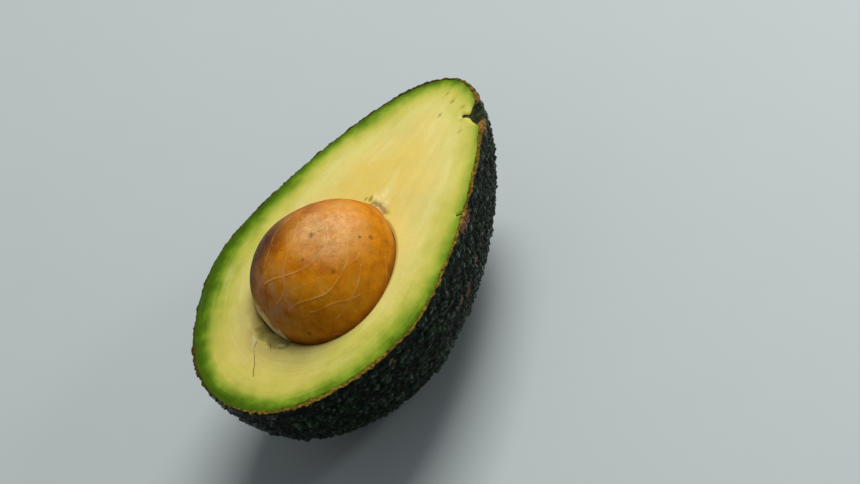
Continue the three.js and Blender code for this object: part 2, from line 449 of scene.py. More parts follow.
def make_peel():
    """The peel: pebbled outside from the bottom up to the rim, a ragged cut edge, and a plain inner wall back
    to the bottom.  Every ring is the outline's, moved along the smooth surface's normals."""
    rim, rim_normals = outline(PEEL_COLUMNS)
    width = peel_width(rim)

    back_angles = np.linspace(math.pi / 2, 0, PEEL_BACK_ROWS + 1)[1:]
    smooth, normals = back_surface(rim, rim_normals, back_angles[::-1])
    smooth, normals = smooth[::-1], normals[::-1]
    height, tone = pebbles(smooth)
    swell = soft_noise(smooth, 14 * MM, 51) * SKIN_SWELL
    calm = 0.55 + 0.45 * ease(smooth[..., 2], FACE, FACE - 7 * MM)
    calm = calm * (0.74 + 0.26 * ease(smooth[..., 0], 35 * MM, -15 * MM))
    grit = soft_noise(smooth, 0.75 * MM, 52) * SKIN_GRIT
    relief = (height - 0.5) * PEBBLE_HEIGHT * calm + swell + grit
    outside = smooth + normals * relief[..., None]
    outside[..., 2] = np.maximum(outside[..., 2], 0)
    outside[..., 2] -= face_drop(outside) * ease(outside[..., 2], FACE - 5 * MM, FACE)
    near_rim = ease(outside[..., 2], FACE - 1.0 * MM, FACE)

    share = (np.arange(1, PEEL_STRIP_ROWS + 1) / PEEL_STRIP_ROWS)[:, None, None]
    inner_edge = rim - rim_normals * width[:, None]
    strip = outside[-1, :, :2] * (1 - share) + inner_edge * share
    strip_points = lift(strip, FACE)
    ragged = 0.10 * soft_noise(strip_points, 0.8 * MM, 61) + 0.08 * soft_noise(strip_points, 2.5 * MM, 62)
    strip_points[..., 2] += ragged * MM + 0.02 * MM - face_drop(strip_points)

    inner_angles = np.linspace(0, math.pi / 2, PEEL_INNER_ROWS + 2)[:-1]
    inner, inner_normals = back_surface(rim, rim_normals, inner_angles)
    thickness = width + (np.maximum(PEEL_THICKNESS, width) - width) * np.minimum(inner_angles[:, None] * 4, 1)
    inside = (inner - inner_normals * thickness[..., None])[1:]
    inside[..., 2] = np.maximum(inside[..., 2], THINNEST_BOTTOM)

    rings = np.concatenate([outside, strip_points, inside])
    strip_blank = np.zeros((PEEL_STRIP_ROWS, PEEL_COLUMNS))
    blank = np.zeros((len(inside), PEEL_COLUMNS))
    cut = np.concatenate([0.35 * near_rim ** 3, strip_blank + 1, blank + 1])
    bump = np.concatenate([height, strip_blank + 0.5, blank])
    tones = np.concatenate([tone, strip_blank + tone[-1], blank])
    below = np.maximum(FACE - rings[..., 2], 0) / MM
    bowl = stem_hollow(rings) * ease(below, 5, 2)
    scar = np.zeros(rings.shape[:2])
    level = np.concatenate([smooth, strip_points, inside])
    for route, reach in SCARS:
        gap = line_gap(level, np.array(route) * MM) / (reach * MM)
        scar = np.maximum(scar, soft_dot(gap))
    cork = spots(rings, CORK) * ease(below, 3.0, 1.5)
    fields = {
        "pebble": (bump, 0.5, 0),
        "tone": (tones, 0.5, 0),
        "cut": (cut, 0, 1),
        "bowl": (bowl, 0, 0),
        "scar": (scar, 0, 0),
        "cork": (cork, 0, 0),
    }
    bottom = (LOWEST_X, 0, 0)
    inner_bottom = (LOWEST_X, 0, PEEL_THICKNESS)
    return ring_mesh("peel", rings, bottom, inner_bottom, fields)


# ------------------------ flesh

FLESH_COLUMNS = 640
FLESH_SIDE_ROWS = 14
FLESH_FACE_ROWS = 92
FLESH_HOLLOW_ROWS = 26
FIRST_RING_INWARD = 0.0015

# Heights and depths on the cut face, in mm.
STRAND_HEIGHT = 0.02
WAVE_HEIGHT = 0.14
HOLLOW_EDGE_DROP = 0.45
TORN_HEIGHT = 0.14
CRACK_DEPTH = 0.06
NICK_DEPTH = 0.6
TIP_BAND_DEPTH = 0.3
LEDGE_DEPTH = 0.35
TORN_ROUGHNESS = 0.12

# Routes and places on the cut face, in mm; a third number is a radius.
CRACK = [
    (-31.4, 5.3), (-32.5, 4.9), (-33.6, 4.4), (-34.6, 3.4),
    (-35.6, 2.7), (-36.6, 1.8), (-37.8, 1.2), (-39.2, 0.1),
]
SHORT_CRACK = [(-30.4, 1.7), (-31.0, 1.2), (-31.7, 0.4)]
TORN_LEDGE = [(-28.2, 6.0), (-29.3, 3.2), (-29.8, 0.4), (-29.4, -2.2)]
TORN_FLAP = [(-30.2, -0.9), (-29.5, -2.4)]
# A brownish band along the seed's edge at its tip, lowered a little into the face.
TIP_BROWN_BAND = [(10.5, 0.7), (10.7, -0.8), (10.5, -2.2), (9.9, -3.6), (9.0, -5.0)]
TORN_PATCH = [(-30.6, 6.9), (-31.8, 5.8), (-33.0, 4.8)]
STEM_NICK = [(39.1, -7.6), (39.6, -8.6), (40.4, -10.4)]
RIM_NICK = [(14.4, -23.3), (15.6, -24.9)]
SPECKS = [
    (42.0, -2.2, 0.85), (43.6, 0.6, 0.6), (37.5, -1.4, 0.75), (37.9, -7.9, 0.75), (35.0, -9.6, 0.7),
    (36.2, -8.8, 0.4), (41.3, -5.8, 0.6), (-12.0, -27.5, 0.35), (-2.0, -28.2, 0.3),
]
PALE_STREAK = [(-37.6, 14.0), (-39.8, 10.6), (-41.3, 7.2), (-42.0, 4.6)]
TIP_GREEN = [(11.7, 1.6, 0.7), (11.2, 2.8, 0.5)]
TIP_PALE = [(12.9, -1.0, 1.9), (12.4, 0.6, 1.1), (11.6, -3.2, 1.2)]


def make_flesh():
    """The flesh: its outside under the peel, up to its edge, across the cut face to the seed's hollow, and
    down the hollow to its bottom.  The face's rings run straight from the outline to the hollow's edge, and
    the second lies just inside the first, so that the edge stays crisp."""
    rim, rim_normals = outline(FLESH_COLUMNS)
    width = peel_width(rim) + PEEL_TO_FLESH_GAP

    side_angles = np.linspace(math.pi / 2, 0, FLESH_SIDE_ROWS + 2)[1:-1]
    smooth, normals = back_surface(rim, rim_normals, np.append(side_angles, 0)[::-1])
    smooth, normals = smooth[:0:-1], normals[:0:-1]
    deep = np.maximum(PEEL_THICKNESS + 2 * PEEL_TO_FLESH_GAP, width)
    sides = smooth - normals * deep[..., None]

    bearing = np.arctan2(rim[:, 1] - SEED_AT[1], rim[:, 0] - SEED_AT[0])
    level = np.stack([np.cos(bearing), np.sin(bearing), np.zeros(FLESH_COLUMNS)], axis=-1)
    start = np.array([0, 0, FACE - SEED_AT[2]])
    base_side = ease(np.cos(bearing - SEED_BASE_BEARING), 0.55, 1.0)
    clearance = SEED_CLEARANCE + SEED_BASE_GAP * base_side
    mouth = egg_reach(start, level) + clearance
    hollow_edge = SEED_AT[:2] + level[:, :2] * mouth[:, None]

    even = np.linspace(0, 1, FLESH_FACE_ROWS)
    even = 0.75 * even + 0.25 * (1 - np.cos(math.pi * even)) / 2
    even[1] = FIRST_RING_INWARD
    skipped = width / np.linalg.norm(hollow_edge - rim, axis=1)
    share = (skipped + (1 - skipped) * even[:, None])[..., None]
    by_edge = 1 - ease(even[:, None, None], 0, 0.3)
    flat = (rim - rim_normals * width[:, None] * by_edge
            + (hollow_edge - rim) * (share - skipped[:, None] * by_edge))
    face = lift(flat, FACE)
    from_peel = np.stack([line_gap(row, np.concatenate([rim, rim[:1]])[::4]) for row in flat]) / MM
    to_hollow = np.linalg.norm(flat - hollow_edge, axis=-1) / MM

    crack = np.maximum(groove(face, CRACK, 0.7), groove(face, SHORT_CRACK, 0.7))
    crack_gap = nearer(side_gap(face, CRACK), side_gap(face, SHORT_CRACK))
    torn = np.maximum(groove(face, TORN_PATCH, 1.1), groove(face, TORN_FLAP, 0.7))
    nick = np.maximum(groove(face, STEM_NICK, 1.0), groove(face, RIM_NICK, 0.45))
    tip_brown_band = groove(face, TIP_BROWN_BAND, 1.5)
    streak = groove(face, PALE_STREAK, 0.9)
    tip_marks = np.stack([tip_brown_band, spots(face, TIP_PALE), spots(face, TIP_GREEN)], axis=-1)
    round_way = np.arange(FLESH_COLUMNS) / FLESH_COLUMNS * 2 * math.pi
    circle = np.stack([np.cos(round_way), np.sin(round_way)], axis=-1)
    inward = share[..., 0]
    ledge_edge = 0.22 * soft_noise(face, 1.6 * MM, 74)
    ledge = ease(groove(face, TORN_LEDGE, 2.7) + ledge_edge, 0.2, 0.6)
    grain = np.concatenate([np.broadcast_to(circle, flat.shape), inward[..., None]], axis=-1)
    strands = soft_noise(grain * [2.2, 2.2, 34], 1.0, 71)
    waves = soft_noise(face, 9 * MM, 72)
    rise = STRAND_HEIGHT * strands * ease(face[..., 0], 4 * MM, -14 * MM) + WAVE_HEIGHT * waves
    rise -= HOLLOW_EDGE_DROP * ease(to_hollow, 1.1, 0) ** 2
    rise += TORN_HEIGHT * torn - CRACK_DEPTH * crack - NICK_DEPTH * nick
    rise -= TIP_BAND_DEPTH * tip_brown_band + LEDGE_DEPTH * ledge
    rise += TORN_ROUGHNESS * soft_noise(face, 0.9 * MM, 73) * np.maximum(ledge, tip_brown_band)
    face[..., 2] += rise * MM - face_drop(face)

    top = np.arctan2(face[-1, :, 2] - SEED_AT[2], mouth)
    down = np.linspace(0, 1, FLESH_HOLLOW_ROWS + 2)[1:-1, None]
    slope = top * (1 - down) - math.pi / 2 * down
    ray = np.stack([np.cos(slope) * level[:, 0], np.cos(slope) * level[:, 1], np.sin(slope)], axis=-1)
    shrinking = SEED_CLEARANCE + (clearance - SEED_CLEARANCE) * ease(down, 0.35, 0.0)
    walls = SEED_AT + ray * (egg_reach(np.zeros(3), ray) + shrinking)[..., None]

    rings = np.concatenate([sides, face, walls])
    side_rows, wall_rows = len(sides), len(walls)

    def spread(values, side_value, wall_value=None):
        """Values of the face's rings, carried over the sides and the walls: as one value, or over the walls
        as the last ring's if no value is given."""
        kind = values.shape[2:]
        inside = values[-1:] if wall_value is None else wall_value
        return np.concatenate([
            np.broadcast_to(side_value, (side_rows, FLESH_COLUMNS) + kind),
            values,
            np.broadcast_to(inside, (wall_rows, FLESH_COLUMNS) + kind),
        ])

    wall_depth = np.concatenate([np.zeros((side_rows + FLESH_FACE_ROWS, FLESH_COLUMNS)),
                                 np.broadcast_to(down, (wall_rows, FLESH_COLUMNS))])
    around = np.broadcast_to(circle, rings.shape[:2] + (2,))
    inward_all = spread(inward, 0.0) + 0.6 * wall_depth
    fibre = np.concatenate([around, inward_all[..., None]], axis=-1)
    half = half_width(rings[..., 0])
    fan = np.stack([rings[..., 0] / (30 * MM), rings[..., 1] / (half + 3 * MM), 0 * half], axis=-1)
    base_near = base_side * ease(to_hollow, 9, 0)
    face_marks = {
        "crack": crack,
        "nick": nick,
        "torn": torn,
        "streak": streak,
        "ledge": ledge,
        "specks": spots(face, SPECKS),
        "bowl": stem_hollow(face),
    }
    fields = {name: (spread(values, 0.0, 0.0), 0, 0) for name, values in face_marks.items()}
    fields |= {
        "from_peel": (spread(from_peel, 0.5), 0, 14),
        "wall": (wall_depth, 0, 1),
        "crack_gap": (spread(crack_gap, 1.0, 1.0), 1, 1),
        "tip_marks": (spread(tip_marks, 0.0), (0, 0, 0), (0, 0, 0)),
        "base_near": (spread(base_near, 0.0), 0, 0),
        "fibre": (fibre, (0, 0, 0), (0, 0, 2)),
        "fan": (fan, (0, 0, 0), (0, 0, 0)),
    }
    under_pole = (LOWEST_X, 0, PEEL_THICKNESS + PEEL_TO_FLESH_GAP * 2)
    straight_down = np.array([0, 0, -1.0])
    hollow_pole = SEED_AT + straight_down * (egg_reach(np.zeros(3), straight_down) + SEED_CLEARANCE)
    return ring_mesh("flesh_half", rings, under_pole, hollow_pole, fields)


# ------------------------ seed

SEED_COLUMNS = 460
SEED_ROWS = 200

# Places on the seed as degrees from its tip and degrees round its axis, then a vein's strength or a spot's
# radius in mm.
VEINS = [
    ([(102, 110), (96, 103), (85, 95), (73, 86), (65, 73)], 1.0),
    ([(113, 92), (104, 98), (97, 104), (82, 114), (70, 116), (58, 113), (50, 97)], 1.0),
    ([(114, 122), (105, 125), (92, 135), (83, 140), (64, 141), (57, 137), (48, 129)], 1.0),
    ([(105, 136), (100, 140), (90, 147), (83, 156), (76, 164)], 0.8),
    ([(98, 155), (91, 157), (82, 158), (68, 158), (58, 154)], 0.8),
    ([(104, 84), (91, 75), (83, 66), (70, 58)], 0.95),
    ([(118, 70), (108, 62), (95, 55), (80, 50)], 0.9),
    ([(82, 114), (74, 104), (66, 99), (60, 88), (50, 80)], 0.5),
    ([(64, 141), (55, 148), (45, 146), (36, 138)], 0.5),
    ([(60, 112), (48, 118), (38, 112), (28, 118)], 0.45),
    ([(85, 95), (78, 84), (72, 70), (60, 62)], 0.45),
    ([(120, 110), (110, 112), (102, 110), (97, 104)], 0.8),
    ([(110, 160), (100, 175), (85, 185), (65, 190), (45, 185)], 0.7),
    ([(115, 210), (95, 225), (70, 230), (45, 225)], 0.7),
    ([(120, 255), (100, 262), (75, 258), (50, 265)], 0.7),
    ([(118, 300), (95, 310), (72, 318), (45, 312)], 0.7),
    ([(118, 350), (98, 10), (80, 18), (55, 12)], 0.7),
    ([(110, 35), (92, 30), (75, 38), (58, 30)], 0.7),
]
SEED_SPOTS = [
    (134, 98, 1.0), (131, 93, 0.6), (63, 97, 1.0), (35, 156, 0.8),
    (72, 134, 0.9), (79, 108, 0.6), (120, 145, 0.7), (40, 140, 0.5),
]
SEED_KNOB = (25, 307)
SEED_KNOB_REACH = 3.0 * MM
# The middle of the painted highlight on the seed's top.
TOP_HIGHLIGHT_AT = (52, 101)
BLOOM_AT = (124, 101)
BLOOM_RADIUS = 9 * MM

# Heights on the seed's coat, in mm.
KNOB_HEIGHT = 0.9
VEIN_HEIGHT = 0.06
VEIN_HALF_WIDTH = 0.25
LIP_HEIGHT = 0.16


def seed_place(from_tip, around):
    """A place on the smooth egg from its angle from the tip and its angle round the axis, in degrees."""
    return egg_points(math.pi - np.radians(from_tip), np.radians(around))


def make_seed():
    """The seed: an egg on its own axes, its base pressed almost flat with a thin raised lip, a low knob near
    its tip, gentle swells all over, and fine raised veins that run from the base and branch on the way."""
    from_base = np.linspace(0, math.pi, SEED_ROWS + 2)[1:-1, None]
    around = np.linspace(0, 2 * math.pi, SEED_COLUMNS, endpoint=False)[None, :]
    from_base, around = np.broadcast_arrays(from_base, around)
    egg = egg_points(from_base, around)
    outward = egg / np.linalg.norm(egg, axis=-1, keepdims=True)
    vein = np.full(egg.shape[:2], 9.0)
    strength = np.zeros(egg.shape[:2])
    for stops, weight in VEINS:
        stops = np.array(stops, float)
        stops[:, 1] = np.degrees(np.unwrap(np.radians(stops[:, 1])))
        route = smooth_route(stops)
        gap = line_gap(egg, seed_place(route[:, 0], route[:, 1])) / MM
        strength = np.where(gap < vein, weight, strength)
        vein = np.minimum(vein, gap)
    spot = np.zeros(egg.shape[:2])
    for from_tip, turn, radius in SEED_SPOTS:
        away = np.linalg.norm(egg - seed_place(from_tip, turn), axis=-1) / (radius * MM)
        spot = np.maximum(spot, soft_dot(away))

    shaped, past = flatten_base(egg)
    past = past / MM
    lip = np.exp(-((past - 0.10) / 0.22) ** 2)
    swell = 0.10 * soft_noise(egg, 7 * MM, 81) + 0.05 * soft_noise(egg, 2 * MM, 82)
    knob = np.exp(-(np.linalg.norm(egg - seed_place(*SEED_KNOB), axis=-1) / SEED_KNOB_REACH) ** 2)
    rise = swell + KNOB_HEIGHT * knob + VEIN_HEIGHT * strength * np.exp(-(vein / VEIN_HALF_WIDTH) ** 2)
    rise += LIP_HEIGHT * lip
    rise += 0.12 * soft_noise(egg, 1.2 * MM, 83) * ease(past, -0.1, 0.5) - SEED_COAT_SINK / MM
    shaped = shaped + outward * (rise * MM)[..., None]
    rings = SEED_AT + shaped @ SEED_AXES.T

    poles = np.array([[-SEED_HALVES[0], 0, 0], [SEED_HALVES[0], 0, 0]])
    poles = SEED_AT + flatten_base(poles)[0] @ SEED_AXES.T
    tip_near = from_base / math.pi
    # Where the painted highlight lies on the seed's top.
    top_highlight = ease(np.linalg.norm(egg - seed_place(*TOP_HIGHLIGHT_AT), axis=-1), 12 * MM, 3 * MM)
    bloom = np.clip(1.25 - np.linalg.norm(egg - seed_place(*BLOOM_AT), axis=-1) / BLOOM_RADIUS, 0, 1)
    fields = {
        "vein": (vein, 9, 9),
        "vein_strength": (strength, 0, 0),
        "spot": (spot, 0, 0),
        "past_base": (past, 1, -20),
        "tip_near": (tip_near, 0, 1),
        "bloom": (bloom, 0, 0),
        "top_highlight": (top_highlight, 0, 0),
        "own": (egg / SEED_LENGTH, (-0.5, 0, 0), (0.5, 0, 0)),
    }
    return ring_mesh("seed_stone", rings, poles[0], poles[1], fields)


# ------------------------ materials

def tint(red, green, blue):
    """A display colour, 0 to 255, as the linear colour that shaders use."""
    parts = np.array([red, green, blue]) / 255
    linear = np.where(parts <= 0.04045, parts / 12.92, ((parts + 0.055) / 1.055) ** 2.4)
    return (*linear.tolist(), 1.0)


class Nodes:
    """Short ways to add nodes to one node tree and join them."""

    def __init__(self, tree):
        self.tree = tree

    def put(self, kind, values=None, **settings):
        """Adds a node with its settings, and with its inputs set to numbers or joined to sockets."""
        node = self.tree.nodes.new(kind)
        for key, value in settings.items():
            setattr(node, key, value)
        for key, value in (values or {}).items():
            self.feed(node.inputs[key], value)
        return node

    def feed(self, socket, value):
        """Sets a socket to a value, or joins it to another node's output."""
        if isinstance(value, bpy.types.NodeSocket):
            self.tree.links.new(value, socket)
        else:
            socket.default_value = value

    def step(self, operation, first, second=None, clamp=False):
        """One arithmetic step on one value or on two."""
        values = {0: first} if second is None else {0: first, 1: second}
        return self.put("ShaderNodeMath", values, operation=operation, use_clamp=clamp).outputs[0]

    def times(self, product, *others):
        """All the values multiplied."""
        for other in others:
            product = self.step("MULTIPLY", product, other)
        return product

    def plus(self, total, *others):
        """All the values added up."""
        for other in others:
            total = self.step("ADD", total, other)
        return total

    def rescale(self, value, low, high, to_low=0.0, to_high=1.0, smooth=True):
        """Maps low..high to to_low..to_high and holds it there."""
        node = self.put("ShaderNodeMapRange", {"Value": value}, clamp=True)
        node.interpolation_type = "SMOOTHSTEP" if smooth else "LINEAR"
        for name, number in (("From Min", low), ("From Max", high), ("To Min", to_low), ("To Max", to_high)):
            node.inputs[name].default_value = number
        return node.outputs["Result"]

    def mix(self, share, first, second):
        """A number between two, as far along as share says."""
        values = {0: share, 2: first, 3: second}
        return self.put("ShaderNodeMix", values, data_type="FLOAT", clamp_factor=True).outputs[0]

    def blend(self, share, first, second, how="MIX"):
        """Mixes two colours."""
        values = {0: share, 6: first, 7: second}
        node = self.put("ShaderNodeMix", values, data_type="RGBA", blend_type=how, clamp_factor=True)
        return node.outputs[2]

    def paint(self, colour, *layers):
        """Lays colours over a colour, one after another, each with its share."""
        for share, layer in layers:
            colour = self.blend(share, colour, layer)
        return colour

    def shade(self, colour, level):
        """A colour times a grey level."""
        grey = self.put("ShaderNodeCombineColor", {0: level, 1: level, 2: level}).outputs[0]
        return self.blend(1.0, colour, grey, "MULTIPLY")

    def ramp(self, value, stops):
        """A colour for each value from 0 to 1, blended between stops of (place, colour)."""
        node = self.put("ShaderNodeValToRGB", {"Fac": value})
        bar = node.color_ramp
        while len(bar.elements) < len(stops):
            bar.elements.new(0.5)
        for element, (place, colour) in zip(bar.elements, stops):
            element.position = place
            element.color = colour
        return node.outputs["Color"]

    def field(self, name, output="Fac"):
        """The piece's own attribute."""
        return self.put("ShaderNodeAttribute", attribute_name=name).outputs[output]

    def along(self, vector, axis):
        """One of a place's three parts."""
        return self.put("ShaderNodeSeparateXYZ", {0: vector}).outputs[axis]

    def stretch(self, vector, factors):
        """A place with each of its parts multiplied by a factor."""
        return self.put("ShaderNodeVectorMath", {0: vector, 1: factors}, operation="MULTIPLY").outputs[0]

    def noise(self, place, scale=1.0, detail=3.0, rough=0.55):
        """Smooth noise from 0 to 1."""
        values = {"Vector": place, "Scale": scale, "Detail": detail, "Roughness": rough}
        return self.put("ShaderNodeTexNoise", values).outputs[0]

    def patches(self, place, scale, low, high, to_low=0.0, to_high=1.0, detail=3.0, rough=0.55, smooth=True):
        """Smooth noise with low..high mapped to to_low..to_high."""
        return self.rescale(self.noise(place, scale, detail, rough), low, high, to_low, to_high, smooth)

    def group(self, tree, **values):
        """Places a shared effect with its own values, and gives its first output."""
        node = self.put("ShaderNodeGroup", node_tree=tree)
        for key, value in values.items():
            self.feed(node.inputs[key], value)
        return node.outputs[0]

    def relief(self, shader, height, strength, distance):
        """Fine relief: a height in a Bump node that feeds the shader's normal."""
        bump = self.put("ShaderNodeBump", {"Strength": strength, "Distance": distance, "Height": height})
        self.feed(shader.inputs["Normal"], bump.outputs[0])


def new_group(name, inputs, outputs):
    """An empty shared effect with named sockets; gives the tree, its short ways, its start and its end."""
    tree = bpy.data.node_groups.new(name, "ShaderNodeTree")
    for direction, sockets in (("INPUT", inputs), ("OUTPUT", outputs)):
        for socket, kind, default in sockets:
            made = tree.interface.new_socket(socket, in_out=direction, socket_type="NodeSocket" + kind)
            if default is not None:
                made.default_value = default
    nodes = Nodes(tree)
    return tree, nodes, nodes.put("NodeGroupInput").outputs, nodes.put("NodeGroupOutput").inputs


def mottle_group():
    """Mottle: noise of two sizes makes a colour lighter and darker."""
    inputs = [("Colour", "Color", (1, 1, 1, 1)), ("Place", "Vector", None), ("Coarse", "Float", 200.0),
              ("Fine", "Float", 1200.0), ("Amount", "Float", 0.2)]
    tree, nodes, start, end = new_group("mottle", inputs, [("Colour", "Color", None)])
    coarse = nodes.noise(start["Place"], start["Coarse"])
    fine = nodes.noise(start["Place"], start["Fine"], 4)
    both = nodes.plus(nodes.times(coarse, 0.6), nodes.times(fine, 0.4))
    swing = nodes.times(nodes.step("SUBTRACT", both, 0.5), nodes.times(start["Amount"], 4))
    nodes.feed(end["Colour"], nodes.shade(start["Colour"], nodes.plus(swing, 1.0)))
    return tree


def flecks_group():
    """Flecks: small scattered dots as a mask; more of the cells hold one as Share grows."""
    inputs = [("Place", "Vector", None), ("Scale", "Float", 600.0), ("Size", "Float", 0.25),
              ("Share", "Float", 0.3)]
    tree, nodes, start, end = new_group("flecks", inputs, [("Mask", "Float", None)])
    cells = nodes.put("ShaderNodeTexVoronoi", {"Vector": start["Place"], "Scale": start["Scale"]})
    chosen = nodes.put("ShaderNodeSeparateColor", {0: cells.outputs["Color"]}).outputs[0]
    kept = nodes.step("LESS_THAN", chosen, start["Share"])
    from_middle = nodes.step("DIVIDE", cells.outputs["Distance"], start["Size"])
    dot = nodes.step("SUBTRACT", 1.0, from_middle, clamp=True)
    nodes.feed(end["Mask"], nodes.times(dot, kept))
    return tree


def new_finish(name, **plain):
    """A material with its short ways, its shader and its place in the piece.  `plain` holds the shader's
    values that are the same all over, with _ for the spaces in their names."""
    material = bpy.data.materials.new(name)
    material.use_nodes = True
    nodes = Nodes(material.node_tree)
    shader = material.node_tree.nodes["Principled BSDF"]
    for socket, value in plain.items():
        shader.inputs[socket.replace("_", " ")].default_value = value
    return material, nodes, shader, nodes.put("ShaderNodeTexCoord").outputs["Object"]


def peel_finish(mottle, flecks):
    """Near-black green skin, greener on the pebbles' tops and near black in the creases between them, which
    is painted shade, with flecks and tan scars, an ochre cut edge that turns olive on the far side, and a
    dull green stem hollow with a brown ring and cork."""
    material, nodes, shader, place = new_finish("peel_skin", Specular_IOR_Level=0.10, Coat_Roughness=0.14)
    pebble, tone, cut, bowl, scar = map(nodes.field, ("pebble", "tone", "cut", "bowl", "scar"))

    # Colour by pebble height: near black in the creases is painted shade, dark green on the tops.
    skin = nodes.blend(nodes.rescale(pebble, 0.2, 0.85), tint(2, 3, 1), tint(18, 40, 14))
    skin = nodes.group(mottle, Colour=skin, Place=place, Coarse=260.0, Fine=1500.0, Amount=0.42)
    dots = nodes.group(flecks, Place=place, Scale=700.0, Size=0.42, Share=0.22)
    rough_scar = nodes.times(scar, nodes.patches(place, 1200.0, 0.3, 0.55, 0.2))
    scar_brown = nodes.blend(nodes.noise(place, 1800.0), tint(84, 50, 34), tint(176, 130, 96))
    skin = nodes.paint(
        skin,
        (nodes.times(tone, pebble, 0.4), tint(32, 74, 36)),
        (nodes.times(nodes.patches(place, 90.0, 0.45, 0.7, detail=2), 0.5), tint(18, 20, 11)),
        (nodes.times(dots, 0.7), tint(80, 100, 54)),
        (nodes.rescale(rough_scar, 0.05, 0.7, 0.0, 0.85), scar_brown),
    )

    speckle = nodes.noise(place, 1100.0, 4, 0.7)
    ochre = nodes.ramp(speckle, [
        (0.34, tint(44, 38, 8)),
        (0.48, tint(112, 94, 24)),
        (0.58, tint(156, 124, 38)),
        (0.72, tint(190, 154, 70)),
    ])
    far_side = nodes.rescale(nodes.along(place, "Y"), -6 * MM, 8 * MM, 0.0, 0.85)
    olive = nodes.plus(nodes.patches(place, 120.0, 0.42, 0.62, 0.0, 0.35, detail=2), far_side)
    edge = nodes.blend(olive, ochre, tint(62, 56, 14))
    hollow_green = nodes.blend(nodes.rescale(speckle, 0.4, 0.62), tint(22, 28, 12), tint(54, 62, 28))
    hollow_ring = nodes.times(nodes.rescale(bowl, 0.02, 0.16), nodes.rescale(bowl, 0.42, 0.22))
    cork = nodes.blend(nodes.rescale(speckle, 0.4, 0.6), tint(104, 70, 20), tint(158, 116, 58))
    cork_mask = nodes.times(nodes.field("cork"), nodes.rescale(speckle, 0.3, 0.5, 0.4))
    skin = nodes.paint(
        skin,
        (nodes.rescale(cut, 0.12, 0.75), edge),
        (nodes.rescale(bowl, 0.15, 0.5), hollow_green),
        (nodes.times(hollow_ring, 0.7), tint(44, 34, 12)),
        (nodes.rescale(cork_mask, 0.1, 0.5), cork),
    )
    nodes.feed(shader.inputs["Base Color"], skin)

    gloss = nodes.patches(place, 700.0, 0.3, 0.7, 0.12, 0.26)
    dull = nodes.step("MAXIMUM", nodes.rescale(cut, 0.2, 0.8), nodes.rescale(rough_scar, 0.1, 0.4))
    nodes.feed(shader.inputs["Roughness"], nodes.mix(dull, gloss, 0.7))
    tops = nodes.times(nodes.rescale(pebble, 0.3, 0.7), nodes.rescale(cut, 0.3, 0.0))
    nodes.feed(shader.inputs["Coat Weight"], nodes.times(tops, nodes.patches(place, 900.0, 0.48, 0.64)))
    fine = nodes.noise(place, 1000.0, 4, 0.6)
    tiny = nodes.noise(place, 4200.0, 2)
    nodes.relief(shader, nodes.plus(fine, nodes.times(tiny, 0.35)), 1.0, 0.7 * MM)
    return material


